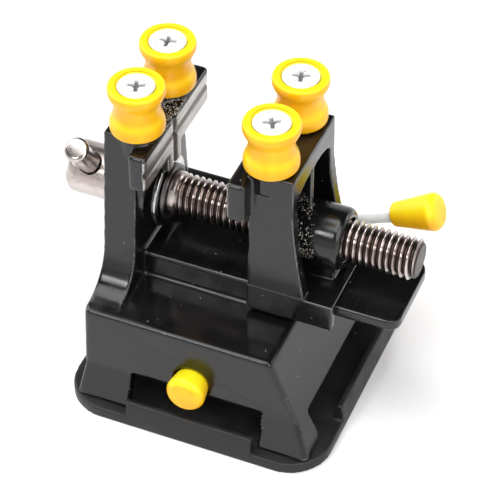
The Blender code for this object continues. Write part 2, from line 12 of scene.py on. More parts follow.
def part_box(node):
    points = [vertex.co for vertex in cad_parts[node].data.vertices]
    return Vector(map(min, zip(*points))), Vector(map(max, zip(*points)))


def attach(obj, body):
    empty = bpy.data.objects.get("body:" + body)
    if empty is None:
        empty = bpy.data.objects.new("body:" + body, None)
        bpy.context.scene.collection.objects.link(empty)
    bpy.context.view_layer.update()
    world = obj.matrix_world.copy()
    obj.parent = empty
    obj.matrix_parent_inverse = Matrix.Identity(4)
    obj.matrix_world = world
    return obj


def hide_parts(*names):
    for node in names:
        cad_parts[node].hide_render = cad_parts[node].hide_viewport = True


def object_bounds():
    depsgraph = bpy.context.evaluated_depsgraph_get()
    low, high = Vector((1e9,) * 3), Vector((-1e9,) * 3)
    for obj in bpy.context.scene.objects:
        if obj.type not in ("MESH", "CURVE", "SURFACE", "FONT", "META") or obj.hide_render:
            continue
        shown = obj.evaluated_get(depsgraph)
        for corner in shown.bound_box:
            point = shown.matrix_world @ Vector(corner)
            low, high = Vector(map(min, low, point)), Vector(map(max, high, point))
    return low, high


bl_info = {
    "name": "PCB Holder Vise",
    "version": (1, 0, 0),
    "blender": (4, 5, 0),
    "location": "3D View > Sidebar > Vise",
    "description": "Builds the finished pieces of a small suction-base bench vise",
    "category": "Add Mesh",
}

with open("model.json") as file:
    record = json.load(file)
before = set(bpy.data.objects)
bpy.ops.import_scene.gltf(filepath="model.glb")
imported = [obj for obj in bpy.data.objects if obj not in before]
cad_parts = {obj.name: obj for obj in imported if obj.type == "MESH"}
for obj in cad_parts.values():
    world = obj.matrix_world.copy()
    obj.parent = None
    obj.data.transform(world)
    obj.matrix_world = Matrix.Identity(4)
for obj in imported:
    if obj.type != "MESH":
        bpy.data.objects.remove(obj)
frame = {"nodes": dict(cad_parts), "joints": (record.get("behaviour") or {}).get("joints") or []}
CAD_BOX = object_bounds()

MM = 0.001
BASE_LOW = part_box("base_casting")[0]
JAW_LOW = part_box("movable_jaw")[0]
SCREW_LOW, SCREW_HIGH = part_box("lead_screw")
SCREW_AXIS = Vector((0.0, 0.0, (SCREW_LOW.z + SCREW_HIGH.z) / 2))
ROD_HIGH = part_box("lever_rod")[1]
LEVER = next(joint for joint in frame["joints"] if joint["name"] == "suction_lever")
LEVER_SHAFT = Vector(LEVER["pos_m"])
BAR = next(joint for joint in frame["joints"] if joint["name"] == "tommy_bar_slide")
BAR_AXIS = Vector(BAR["axis"]).normalized()

# Screws
HEAD_LENGTH = 13.3 * MM
SHANK_RADIUS = 4.9 * MM
CLIP_GROOVE_DEPTH = 0.8 * MM
CLIP_GROOVE = (-17.4 * MM, -16.3 * MM)
THREAD_START = -14.7 * MM
THREAD_CREST = 4.78 * MM
THREAD_CHAMFER = 0.7 * MM
THREAD_STEPS = 40
WASHER_BORE = 5.2 * MM
CLIP_BORE = 4.35 * MM
PEG_SCREW_SHANK = 2.0 * MM

# Bare face of each jaw, as heights above the table; the band from BAND_LOW to BAND_HIGH is the
# level groove, painted darker as shade
BARE_FOOT = 50.0 * MM
BAND_LOW = 58.7 * MM
BAND_HIGH = 61.0 * MM
BARE_TOP = 63.4 * MM

# Tommy bar
BAR_NEAR = 16.9 * MM
BAR_FAR = -33.1 * MM
BAR_RADIUS = 2.45 * MM
BAR_HOLE_RADIUS = 2.75 * MM

# Lever
ROD_RADIUS = 1.9 * MM
ROD_BEND = 4.0 * MM
LEVER_ANGLE = math.radians(23.3)
LEVER_REACH = 40.4 * MM
CAP_LENGTH = 12.0 * MM
CAP_NECK = 2.8 * MM
CAP_END = 4.55 * MM
CAP_SOCKET = 2.2 * MM
SOCKET_TOP = 2.2 * MM
ROD_SET_BACK = 2.6 * MM


class ViseSizes(bpy.types.PropertyGroup):
    casting_voxel: bpy.props.FloatProperty(
        name="Casting detail", description="Grid size that the castings are rounded on",
        default=0.36 * MM, min=0.2 * MM, unit="LENGTH", subtype="DISTANCE")
    casting_softness: bpy.props.IntProperty(
        name="Casting softness", description="Smoothing passes that round the castings' edges",
        default=4, min=0)
    thread_pitch: bpy.props.FloatProperty(
        name="Thread pitch", description="Distance between the lead screw's threads",
        default=1.5 * MM, unit="LENGTH", subtype="DISTANCE")
    thread_depth: bpy.props.FloatProperty(
        name="Thread depth", description="Depth of the lead screw's threads",
        default=0.95 * MM, unit="LENGTH", subtype="DISTANCE")
    steps_round: bpy.props.IntProperty(
        name="Steps", description="Steps in a turned piece", default=96, min=16)
    recess_width: bpy.props.FloatProperty(
        name="Recess width", description="Width of the peg screws' cross recess",
        default=1.15 * MM, unit="LENGTH", subtype="DISTANCE")


class ViseFinishes(bpy.types.PropertyGroup):
    paint: bpy.props.FloatVectorProperty(
        name="Paint", description="Colour of the castings' paint", subtype="COLOR",
        default=(0.0045, 0.0043, 0.0047), min=0.0, max=1.0)
    # painted light: the side colour and the top colour below are shaded and lit copies of the one
    # yellow plastic
    plastic: bpy.props.FloatVectorProperty(
        name="Plastic", description="Colour of the pegs' sides", subtype="COLOR",
        default=(0.80, 0.41, 0.004), min=0.0, max=1.0)
    plastic_lit_top: bpy.props.FloatVectorProperty(
        name="Plastic Top", description="Colour of the pegs where they face up",
        subtype="COLOR", default=(0.90, 0.74, 0.012), min=0.0, max=1.0)
    cap_plastic: bpy.props.FloatVectorProperty(
        name="Cap Plastic", description="Colour of the lever's two caps", subtype="COLOR",
        default=(0.84, 0.44, 0.004), min=0.0, max=1.0)
    nickel: bpy.props.FloatVectorProperty(
        name="Nickel", description="Colour of the screw's plating", subtype="COLOR",
        default=(0.60, 0.545, 0.52), min=0.0, max=1.0)
    zinc: bpy.props.FloatVectorProperty(
        name="Zinc", description="Colour of the peg screws' plating", subtype="COLOR",
        default=(0.90, 0.91, 0.93), min=0.0, max=1.0)
    chrome: bpy.props.FloatVectorProperty(
        name="Chrome", description="Colour of the chromed pieces", subtype="COLOR",
        default=(0.72, 0.72, 0.72), min=0.0, max=1.0)
    rubber: bpy.props.FloatVectorProperty(
        name="Rubber", description="Colour of the suction pad", subtype="COLOR",
        default=(0.009, 0.0088, 0.0092), min=0.0, max=1.0)
    floor: bpy.props.FloatVectorProperty(
        name="Floor", description="Colour of the floor", subtype="COLOR",
        default=(0.93, 0.925, 0.93), min=0.0, max=1.0)


# ---------------------------------------------------------------- shapes

def soften(points, radius, steps=4):
    """Rounds the corners inside a row of 2D points."""
    row = [Vector(point) for point in points]
    made = [row[0]]
    for before, corner, after in zip(row, row[1:], row[2:]):
        to_before, to_after = before - corner, after - corner
        reach = min(radius, to_before.length * 0.49, to_after.length * 0.49)
        start = corner + to_before.normalized() * reach
        end = corner + to_after.normalized() * reach
        for step in range(steps + 1):
            t = step / steps
            made.append(start * (1 - t) ** 2 + corner * 2 * t * (1 - t) + end * t * t)
    made.append(row[-1])
    return made


def turned(profile, steps, origin, axis):
    """A bmesh turned from (radius, height) points about an axis through origin."""
    bm = bmesh.new()
    points = [bm.verts.new((point[0], 0.0, point[1])) for point in profile]
    pairs = list(zip(points, points[1:]))
    if min(point[0] for point in profile) > 1e-6:
        pairs.append((points[-1], points[0]))
    for pair in pairs:
        bm.edges.new(pair)
    bmesh.ops.spin(bm, geom=bm.verts[:] + bm.edges[:], cent=(0, 0, 0), axis=(0, 0, 1),
                   angle=2 * math.pi, steps=steps, use_merge=True)
    bmesh.ops.remove_doubles(bm, verts=bm.verts, dist=1e-7)
    bmesh.ops.recalc_face_normals(bm, faces=bm.faces)
    turn = Vector(axis).to_track_quat("Z", "Y").to_matrix().to_4x4()
    bmesh.ops.transform(bm, matrix=Matrix.Translation(origin) @ turn, verts=bm.verts)
    return bm


def block(size, centre, bevel=0.0, turn=None):
    bm = bmesh.new()
    bmesh.ops.create_cube(bm, size=1.0)
    bmesh.ops.scale(bm, vec=size, verts=bm.verts)
    if bevel:
        bmesh.ops.bevel(bm, geom=bm.edges[:], offset=bevel, segments=3, profile=0.5,
                        affect="EDGES", material=-1)
    matrix = Matrix.Translation(centre)
    if turn:
        matrix = matrix @ turn
    bmesh.ops.transform(bm, matrix=matrix, verts=bm.verts)
    return bm


def place(bm, name):
    mesh = bpy.data.meshes.new(name)
    bm.to_mesh(mesh)
    bm.free()
    made = bpy.data.objects.new(name, mesh)
    bpy.context.scene.collection.objects.link(made)
    return made


def settle(made):
    """Replaces an object by what its modifiers make of it."""
    bpy.context.view_layer.update()
    graph = bpy.context.evaluated_depsgraph_get()
    mesh = bpy.data.meshes.new_from_object(made.evaluated_get(graph))
    made.modifiers.clear()
    made.data = mesh
    return made


def carve(made, *tools):
    """Cuts tools out of an object and removes them."""
    for tool in tools:
        cut = made.modifiers.new(tool.name, "BOOLEAN")
        cut.operation = "DIFFERENCE"
        cut.solver = "EXACT"
        cut.object = tool
    settle(made)
    for tool in tools:
        bpy.data.objects.remove(tool, do_unlink=True)
    return made


def ready(made, material, body, slot, *nodes, smooth_angle=32):
    """Gives a piece its finish, its body and the CAD nodes that it stands for."""
    made.data.materials.clear()
    made.data.materials.append(material)
    made.data.shade_smooth()
    made.data.set_sharp_from_angle(angle=math.radians(smooth_angle))
    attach(made, body)
    if nodes:
        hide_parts(*nodes)
    return made


def merged_copy(node, name):
    """A welded copy of a CAD node's mesh, as a new object."""
    bm = bmesh.new()
    bm.from_mesh(frame["nodes"][node].data)
    bmesh.ops.remove_doubles(bm, verts=bm.verts, dist=1e-6)
    return place(bm, name)


def record_curvature(mesh, radius):
    """Stores how sharply each point bends outwards (edge) or inwards (crease), from 0 to 1."""
    count = len(mesh.vertices)
    places = np.empty(count * 3)
    mesh.vertices.foreach_get("co", places)
    places = places.reshape(-1, 3)
    normals = np.empty(count * 3)
    mesh.vertex_normals.foreach_get("vector", normals)
    normals = normals.reshape(-1, 3)
    ends = np.empty(len(mesh.edges) * 2, dtype=np.int32)
    mesh.edges.foreach_get("vertices", ends)
    ends = ends.reshape(-1, 2)
    total = np.zeros(count)
    weight = np.zeros(count)
    for here, there in ((0, 1), (1, 0)):
        step = places[ends[:, there]] - places[ends[:, here]]
        length = np.maximum(np.linalg.norm(step, axis=1), 1e-7)
        bend = -np.einsum("ij,ij->i", step, normals[ends[:, here]]) / length
        np.add.at(total, ends[:, here], bend)
        np.add.at(weight, ends[:, here], length)
    bend = total / np.maximum(weight, 1e-9) * radius
    for name, values in (("edge", bend), ("crease", -bend)):
        attribute = mesh.attributes.new(name, "FLOAT", "POINT")
        attribute.data.foreach_set("value", np.clip(values, 0, 1).astype(np.float32))


def cast_shape(node, name, voxel, softness, most=150000):
    """A welded copy of a casting with its edges and inner corners rounded."""
    made = merged_copy(node, name)
    grid = made.modifiers.new("grid", "REMESH")
    grid.mode = "VOXEL"
    grid.voxel_size = voxel
    soft = made.modifiers.new("soft", "SMOOTH")
    soft.factor = 0.5
    soft.iterations = softness
    settle(made)
    record_curvature(made.data, 1.2 * MM)
    triangles = len(made.data.polygons) * 2
    if triangles > most:
        thin = made.modifiers.new("thin", "DECIMATE")
        thin.ratio = most / triangles
        settle(made)
    return made


# ---------------------------------------------------------------- finishes

class Finish:
    """A Principled material with helpers that add the nodes of a surface pattern."""

    def __init__(self, name, colour, metallic, roughness):
        self.material = bpy.data.materials.new(name)
        self.material.use_nodes = True
        self.nodes = self.material.node_tree.nodes
        self.links = self.material.node_tree.links
        self.shader = self.nodes["Principled BSDF"]
        self.shader.inputs["Base Color"].default_value = (*colour, 1.0)
        self.shader.inputs["Metallic"].default_value = metallic
        self.shader.inputs["Roughness"].default_value = roughness
        self.place = self.nodes.new("ShaderNodeTexCoord").outputs["Object"]

    def pattern(self, name, **values):
        """Lays a pattern's group on the piece, with the group's inputs set by name."""
        values["Place"] = self.place
        node = self.nodes.new("ShaderNodeGroup")
        node.node_tree = TREES[name]
        for socket in node.inputs:
            if socket.name in values:
                self.give(socket, values[socket.name])
        return node.outputs

    def give(self, target, value):
        """Links a socket to the target, or sets the target to a plain value."""
        if isinstance(value, bpy.types.NodeSocket):
            self.links.new(value, target)
        else:
            target.default_value = value

    def feed(self, name, socket):
        self.links.new(socket, self.shader.inputs[name])

    def bump(self, height, strength, distance, normal=None):
        node = self.nodes.new("ShaderNodeBump")
        node.inputs["Strength"].default_value = strength
        node.inputs["Distance"].default_value = distance
        self.links.new(height, node.inputs["Height"])
        if normal:
            self.links.new(normal, node.inputs["Normal"])
        return node.outputs["Normal"]

    def mix(self, factor, first, second):
        node = self.nodes.new("ShaderNodeMix")
        node.data_type = "RGBA"
        for index, value in ((0, factor), (6, first), (7, second)):
            self.give(node.inputs[index], value)
        return node.outputs[2]

    def math(self, operation, first, second):
        node = self.nodes.new("ShaderNodeMath")
        node.operation = operation
        node.use_clamp = operation not in ("ADD", "SUBTRACT", "POWER")
        self.give(node.inputs[0], first)
        self.give(node.inputs[1], second)
        return node.outputs[0]

    def times(self, first, second):
        return self.math("MULTIPLY", first, second)

    def ramp(self, value, low, high, to_low=0.0, to_high=1.0):
        node = self.nodes.new("ShaderNodeMapRange")
        node.interpolation_type = "SMOOTHSTEP"
        self.links.new(value, node.inputs["Value"])
        for name, number in (("From Min", low), ("From Max", high),
                             ("To Min", to_low), ("To Max", to_high)):
            node.inputs[name].default_value = number
        return node.outputs["Result"]

    def attribute(self, name):
        node = self.nodes.new("ShaderNodeAttribute")
        node.attribute_name = name
        return node.outputs["Fac"]

    def axes(self, source=None):
        node = self.nodes.new("ShaderNodeSeparateXYZ")
        self.links.new(source or self.place, node.inputs[0])
        return node.outputs

    def distance_to(self, point, scale=(1, 1, 1)):
        """Distance from a fixed point, with each axis weighted."""
        moved = self.nodes.new("ShaderNodeVectorMath")
        moved.operation = "SUBTRACT"
        self.links.new(self.place, moved.inputs[0])
        moved.inputs[1].default_value = point
        weighed = self.nodes.new("ShaderNodeVectorMath")
        weighed.operation = "MULTIPLY"
        self.links.new(moved.outputs[0], weighed.inputs[0])
        weighed.inputs[1].default_value = scale
        length = self.nodes.new("ShaderNodeVectorMath")
        length.operation = "LENGTH"
        self.links.new(weighed.outputs[0], length.inputs[0])
        return length.outputs["Value"]


def shade(colour, share):
    """A colour made darker or lighter, with full alpha."""
    return (*(part * share for part in colour), 1)


def new_tree(name, inputs, outputs):
    tree = bpy.data.node_groups.new(name, "ShaderNodeTree")
    for title, kind, value in inputs:
        socket = tree.interface.new_socket(title, in_out="INPUT", socket_type=kind)
        if value is not None:
            socket.default_value = value
    for title, kind in outputs:
        tree.interface.new_socket(title, in_out="OUTPUT", socket_type=kind)
    entry = tree.nodes.new("NodeGroupInput")
    leave = tree.nodes.new("NodeGroupOutput")
    return tree, entry, leave


def tree_math(tree, operation, first, second):
    node = tree.nodes.new("ShaderNodeMath")
    node.operation = operation
    tree.links.new(first, node.inputs[0])
    tree.links.new(second, node.inputs[1])
    return node.outputs[0]


def grain_tree():
    """Fine waviness and fine grain, each around 0.5, for bump and roughness."""
    tree, entry, leave = new_tree(
        "surface_grain",
        (("Place", "NodeSocketVector", None), ("Wave Scale", "NodeSocketFloat", 160.0),
         ("Grain Scale", "NodeSocketFloat", 1800.0), ("Grain Share", "NodeSocketFloat", 0.3)),
        (("Height", "NodeSocketFloat"), ("Wave", "NodeSocketFloat")))
    wave = tree.nodes.new("ShaderNodeTexNoise")
    wave.inputs["Detail"].default_value = 3.0
    grain = tree.nodes.new("ShaderNodeTexNoise")
    grain.inputs["Detail"].default_value = 2.0
    join = tree.nodes.new("ShaderNodeMix")
    tree.links.new(entry.outputs["Place"], wave.inputs["Vector"])
    tree.links.new(entry.outputs["Place"], grain.inputs["Vector"])
    tree.links.new(entry.outputs["Wave Scale"], wave.inputs["Scale"])
    tree.links.new(entry.outputs["Grain Scale"], grain.inputs["Scale"])
    tree.links.new(entry.outputs["Grain Share"], join.inputs[0])
    tree.links.new(wave.outputs["Fac"], join.inputs[2])
    tree.links.new(grain.outputs["Fac"], join.inputs[3])
    tree.links.new(join.outputs[0], leave.inputs["Height"])
    tree.links.new(wave.outputs["Fac"], leave.inputs["Wave"])
    return tree


def speck_tree():
    """Sparse round specks of dust: 1 on a speck and 0 elsewhere."""
    tree, entry, leave = new_tree(
        "dust_specks",
        (("Place", "NodeSocketVector", None), ("Scale", "NodeSocketFloat", 620.0),
         ("Size", "NodeSocketFloat", 0.075), ("Share", "NodeSocketFloat", 0.32)),
        (("Mask", "NodeSocketFloat"),))
    cells = tree.nodes.new("ShaderNodeTexVoronoi")
    tree.links.new(entry.outputs["Place"], cells.inputs["Vector"])
    tree.links.new(entry.outputs["Scale"], cells.inputs["Scale"])
    split = tree.nodes.new("ShaderNodeSeparateColor")
    tree.links.new(cells.outputs["Color"], split.inputs[0])
    size = tree_math(tree, "MULTIPLY", entry.outputs["Size"], split.outputs[1])
    near = tree_math(tree, "LESS_THAN", cells.outputs["Distance"], size)
    some = tree_math(tree, "LESS_THAN", split.outputs[0], entry.outputs["Share"])
    both = tree_math(tree, "MULTIPLY", near, some)
    tree.links.new(both, leave.inputs["Mask"])
    return tree


def streak_tree():
    """Long fine streaks, as machining or drawing leaves; Stretch is large across the streaks."""
    tree, entry, leave = new_tree(
        "drawn_streaks",
        (("Place", "NodeSocketVector", None), ("Stretch", "NodeSocketVector", (1, 1, 1)),
         ("Scale", "NodeSocketFloat", 600.0)),
        (("Streak", "NodeSocketFloat"),))
    stretch = tree.nodes.new("ShaderNodeVectorMath")
    stretch.operation = "MULTIPLY"
    tree.links.new(entry.outputs["Place"], stretch.inputs[0])
    tree.links.new(entry.outputs["Stretch"], stretch.inputs[1])
    noise = tree.nodes.new("ShaderNodeTexNoise")
    noise.inputs["Detail"].default_value = 4.0
    noise.inputs["Roughness"].default_value = 0.65
    tree.links.new(stretch.outputs[0], noise.inputs["Vector"])
    tree.links.new(entry.outputs["Scale"], noise.inputs["Scale"])
    tree.links.new(noise.outputs["Fac"], leave.inputs["Streak"])
    return tree


def paint_finish(name, colour, machined_x, facing, dusty_points):
    """Glossy paint with edges lightened as wear and as a painted highlight, dust specks, and bare
    machined metal on the jaw face with painted shade in its level groove.
    """
    finish = Finish(name, colour, 0.0, 0.2)
    finish.shader.inputs["IOR"].default_value = 1.5
    grain = finish.pattern("grain")
    edge = finish.attribute("edge")
    # wear and painted highlight: convex edges are lightened, partly as real edge wear and partly as
    # a painted highlight along them
    wear_and_edge_highlight = finish.times(finish.ramp(edge, 0.30, 0.75), finish.ramp(grain["Wave"], 0.40, 0.62))
    specks = finish.pattern("speck")["Mask"]
    fine = finish.pattern("speck", Scale=3600.0, Size=0.62, Share=0.55)["Mask"]
    patch = finish.ramp(grain["Height"], 0.44, 0.56)
    for point in dusty_points:
        near = finish.ramp(finish.distance_to(point), 0.0075, 0.0015)
        thick = finish.ramp(finish.times(near, patch), 0.05, 0.35)
        crowd = finish.times(fine, thick)
        specks = finish.math("MAXIMUM", specks, crowd)
    x, _, z = finish.axes()[:3]
    along = finish.nodes.new("ShaderNodeNewGeometry")
    normal_x = finish.axes(along.outputs["Normal"])[0]
    outward = finish.ramp(finish.times(normal_x, facing), 0.30, 0.45)
    low, high = sorted((machined_x, machined_x - facing * 1.3 * MM))
    inside = finish.times(finish.ramp(x, low - 0.25 * MM, low - 0.05 * MM),
                          finish.ramp(x, high + 0.25 * MM, high + 0.05 * MM))
    upper = finish.ramp(z, BARE_FOOT, BARE_FOOT + 0.3 * MM)
    bare = finish.times(finish.times(outward, inside), upper)
    streak = finish.pattern("streak", Stretch=(1.0, 0.08, 1.0), Scale=1500.0)["Streak"]
    metal = finish.mix(finish.ramp(streak, 0.40, 0.62), (0.36, 0.34, 0.325, 1),
                       (0.50, 0.485, 0.47, 1))
    # painted shade: the bare face is darkened in the level groove between BAND_LOW and BAND_HIGH,
    # where shade falls
    groove = finish.times(finish.ramp(z, BAND_LOW, BAND_LOW + 0.5 * MM),
                          finish.ramp(z, BAND_HIGH, BAND_HIGH - 0.5 * MM))
    metal = finish.mix(finish.times(groove, 0.75), metal, (0.10, 0.085, 0.07, 1))
    upper_strip = finish.ramp(z, BARE_TOP, BARE_TOP + 0.3 * MM)
    base = finish.mix(grain["Wave"], shade(colour, 0.8), shade(colour, 1.3))
    # edges lightened towards grey: wear and painted highlight
    base = finish.mix(finish.times(wear_and_edge_highlight, 0.55), base, (0.20, 0.195, 0.19, 1))
    base = finish.mix(specks, base, (0.62, 0.58, 0.50, 1))
    bare = finish.times(bare, finish.math("SUBTRACT", 1.0, upper_strip))
    finish.feed("Base Color", finish.mix(bare, base, metal))
    finish.feed("Metallic", bare)
    rough = finish.ramp(grain["Wave"], 0.3, 0.7, 0.13, 0.24)
    rough = finish.math("ADD", rough, finish.times(specks, 0.5))
    rough = finish.math("ADD", rough, finish.times(bare, 0.14))
    finish.feed("Roughness", rough)
    peel = finish.bump(grain["Height"], 0.16, 0.00012)
    speck_height = finish.bump(specks, 0.3, 0.00006, peel)
    finish.feed("Normal", finish.bump(finish.times(streak, bare), 0.25, 0.00005,
                                      speck_height))
    return finish.material


def plastic_finish(name, colour, lit_top_colour):
    """Glossy moulded plastic, mottled and finely scratched, with a lighter top colour painted where
    it faces up as painted light from above.
    """
    finish = Finish(name, colour, 0.0, 0.3)
    finish.shader.inputs["Subsurface Weight"].default_value = 0.12
    finish.shader.inputs["Subsurface Radius"].default_value = (1.0, 0.5, 0.08)
    finish.shader.inputs["Subsurface Scale"].default_value = 0.0012
    finish.shader.inputs["Specular IOR Level"].default_value = 0.32
    grain = finish.pattern("grain", **{"Wave Scale": 220.0, "Grain Scale": 2600.0})
    streak = finish.pattern("streak", Stretch=(1, 1, 7), Scale=420.0)["Streak"]
    edge = finish.ramp(finish.attribute("edge"), 0.2, 0.9)
    darker = (colour[0] * 0.95, colour[1] * 0.88, colour[2] * 0.8, 1)
    lighter = (min(colour[0] * 1.04, 1), colour[1] * 1.12, colour[2] * 1.6, 1)
    base = finish.mix(finish.ramp(grain["Wave"], 0.3, 0.7), darker, lighter)
    # painted highlight: edges are lightened towards a bright yellow as a highlight along the rims
    base = finish.mix(finish.times(edge, 0.3), base, (0.95, 0.62, 0.02, 1))
    # painted light: faces turned up take the lighter top colour, sides keep the darker orange, as
    # lit and shaded copies of one plastic
    normal = finish.nodes.new("ShaderNodeNewGeometry").outputs["Normal"]
    upward = finish.ramp(finish.axes(normal)[2], 0.05, 0.85)
    base = finish.mix(upward, base, (*lit_top_colour, 1))
    specks = finish.pattern("speck", Scale=900.0, Size=0.09, Share=0.05)["Mask"]
    base = finish.mix(finish.times(specks, 0.6), base, (0.45, 0.30, 0.10, 1))
    finish.feed("Base Color", base)
    finish.feed("Roughness", finish.ramp(streak, 0.3, 0.7, 0.26, 0.38))
    finish.feed("Normal", finish.bump(grain["Height"], 0.10, 0.00008))
    return finish.material


def turned_metal_finish(name, colour, roughness, centre, stretch, tint=None, depth=None,
                        metallic=1.0):
    """Plated metal with fine turning marks; depth paints shade on what lies below a radius, such as
    the thread's roots.
    """
    finish = Finish(name, colour, metallic, roughness)
    grain = finish.pattern("grain", **{"Wave Scale": 240.0})
    streak = finish.pattern("streak", Stretch=stretch, Scale=1200.0)["Streak"]
    tint = tint or tuple(c * 0.72 for c in colour)
    blotch = finish.ramp(grain["Wave"], 0.38, 0.66)
    base = finish.mix(blotch, (*tint, 1), (*colour, 1))
    base = finish.mix(finish.times(finish.ramp(streak, 0.5, 0.75), 0.35), base,
                      shade(colour, 0.45))
    rough = finish.ramp(streak, 0.3, 0.7, roughness * 0.75, roughness * 1.35)
    if depth:
        # painted shade: below the depth radii the colour goes dark, standing in for shade in the
        # thread's roots
        radius = finish.distance_to(centre, (0, 1, 1))
        crest = finish.ramp(radius, depth[0], depth[1])
        base = finish.mix(crest, (0.055, 0.040, 0.036, 1), base)
        rough = finish.math("ADD", rough, finish.times(finish.math(
            "SUBTRACT", 1.0, crest), 0.2))
    finish.feed("Base Color", base)
    finish.feed("Roughness", rough)
    finish.feed("Normal", finish.bump(streak, 0.10, 0.00003))
    return finish.material


def zinc_finish(name, colour, top):
    """Bright zinc plate, dull in patches, with painted shade darkening the cross recess below the
    head's top.
    """
    finish = Finish(name, colour, 0.25, 0.45)
    grain = finish.pattern("grain", **{"Wave Scale": 420.0})
    z = finish.axes()[2]
    # painted shade: the cross recess is darkened below the head's top, where shade falls
    recess_shade = finish.ramp(z, top - 0.16 * MM, top - 0.9 * MM)
    specks = finish.pattern("speck", Scale=700.0, Size=0.25, Share=0.04)["Mask"]
    base = finish.mix(finish.ramp(grain["Wave"], 0.35, 0.65), shade(colour, 0.88), shade(colour, 1))
    base = finish.mix(finish.times(specks, 0.7), base, (0.12, 0.11, 0.11, 1))
    finish.feed("Base Color", finish.mix(finish.times(recess_shade, 0.8), base,
                                         (0.16, 0.15, 0.12, 1)))
    finish.feed("Roughness", finish.ramp(grain["Wave"], 0.3, 0.7, 0.26, 0.48))
    finish.feed("Normal", finish.bump(grain["Height"], 0.18, 0.00008))
    return finish.material


def rubber_finish(name, colour):
    """Matte moulded rubber with dust in its grain and edges painted paler as a painted highlight.
    """
    finish = Finish(name, colour, 0.0, 0.55)
    finish.shader.inputs["Specular IOR Level"].default_value = 0.35
    grain = finish.pattern("grain", **{"Wave Scale": 130.0, "Grain Scale": 2400.0,
                                       "Grain Share": 0.55})
    specks = finish.pattern("speck", Scale=520.0, Size=0.10, Share=0.10)["Mask"]
    # painted highlight: rounded edges are painted paler, standing in for the light along them
    edge = finish.ramp(finish.attribute("edge"), 0.25, 0.8)
    base = finish.mix(finish.ramp(grain["Wave"], 0.3, 0.7), shade(colour, 0.75), shade(colour, 1.5))
    base = finish.mix(finish.times(edge, 0.35), base, (0.05, 0.048, 0.047, 1))
    finish.feed("Base Color", finish.mix(specks, base, (0.30, 0.29, 0.28, 1)))
    finish.feed("Roughness", finish.ramp(grain["Wave"], 0.3, 0.7, 0.42, 0.62))
    finish.feed("Normal", finish.bump(grain["Height"], 0.35, 0.00010))
    return finish.material


def hidden_finish(name, colour, metallic):
    """Plain engineering finish for the mechanism inside the base."""
    finish = Finish(name, colour, metallic, 0.45)
    grain = finish.pattern("grain")
    base = finish.mix(grain["Wave"], shade(colour, 0.75), shade(colour, 1.2))
    finish.feed("Base Color", base)
    finish.feed("Roughness", finish.ramp(grain["Wave"], 0.3, 0.7, 0.35, 0.6))
    finish.feed("Normal", finish.bump(grain["Height"], 0.2, 0.0001))
    return finish.material


TREES = {}
FINISHES = {}


def make_finishes(colours):
    TREES.update(grain=grain_tree(), speck=speck_tree(), streak=streak_tree())
    fixed_face = BASE_LOW.x
    for vert in frame["nodes"]["base_casting"].data.vertices:
        if vert.co.z > 0.056 and vert.co.x > fixed_face and abs(vert.co.y) > 0.015:
            fixed_face = vert.co.x
    peg_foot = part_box("peg_fixed_back")[0].z
    boss_root = (JAW_LOW.x + 8.5 * MM, -2.8 * MM, SCREW_AXIS.z + 6.0 * MM)
    boss_side = (JAW_LOW.x + 12.0 * MM, -5.5 * MM, SCREW_AXIS.z + 2.5 * MM)
    FINISHES["base"] = paint_finish("base_paint", colours.paint, fixed_face, 1.0,
                                    ((fixed_face, 1.0 * MM, peg_foot),))
    FINISHES["jaw"] = paint_finish("jaw_paint", colours.paint, JAW_LOW.x, -1.0,
                                   (boss_root, boss_side))
    FINISHES["plastic"] = plastic_finish("yellow_plastic", colours.plastic,
                                         colours.plastic_lit_top)
    # the caps take the same painted lit top colour
    FINISHES["cap"] = plastic_finish("cap_plastic", colours.cap_plastic, colours.plastic_lit_top)
    FINISHES["nickel"] = turned_metal_finish("nickel_plate", colours.nickel, 0.26,
                                             SCREW_AXIS, (9.0, 0.7, 0.7), (0.42, 0.36, 0.34))
    head = (SCREW_HIGH.z - SCREW_LOW.z) / 2
    # the thread's roots are painted dark as shade, below the depth radii
    FINISHES["thread"] = turned_metal_finish("thread_plate", (0.60, 0.54, 0.52), 0.17,
                                             SCREW_AXIS, (6.0, 0.7, 0.7), (0.34, 0.28, 0.265),
                                             (head - 2.05 * MM, head - 1.45 * MM))
    FINISHES["bar"] = turned_metal_finish("bar_plate", colours.nickel, 0.16,
                                          SCREW_AXIS, (3.0, 3.0, 3.0), (0.46, 0.42, 0.40))
    FINISHES["chrome"] = turned_metal_finish("chrome_plate", colours.chrome, 0.1,
                                             LEVER_SHAFT, (1.0, 2.0, 2.0))
    # painted highlight: the chromed rod is coloured near-white and almost non-metallic, standing in
    # for the bright reflection along it
    FINISHES["rod"] = turned_metal_finish("rod_painted_highlight", (0.97, 0.97, 0.94), 0.32,
                                          LEVER_SHAFT, (1.0, 2.0, 2.0), (0.92, 0.92, 0.89),
                                          metallic=0.15)
    FINISHES["clip"] = turned_metal_finish("clip_steel", (0.20, 0.19, 0.19), 0.3,
                                           SCREW_AXIS, (4.0, 1.0, 1.0))
    screw_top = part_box("peg_screw_fixed_front")[1].z
    FINISHES["zinc"] = zinc_finish("zinc_plate", colours.zinc, screw_top)
    FINISHES["rubber"] = rubber_finish("pad_rubber", colours.rubber)
    FINISHES["cam"] = hidden_finish("cam_plastic", (0.28, 0.28, 0.28), 0.0)
    FINISHES["stem"] = hidden_finish("stem_zinc", (0.55, 0.56, 0.58), 1.0)


# ---------------------------------------------------------------- pieces

class ViseOperator:
    bl_options = {"REGISTER", "UNDO"}

    @property
    def sizes(self):
        return bpy.context.scene.vise_sizes

    @property
    def colours(self):
        return bpy.context.scene.vise_finishes


class VISE_OT_finishes(ViseOperator, bpy.types.Operator):
    """Make the paint, plastic, plating and rubber"""
    bl_idname = "vise.finishes"
    bl_label = "Finishes"

    def execute(self, context):
        make_finishes(self.colours)
        return {"FINISHED"}


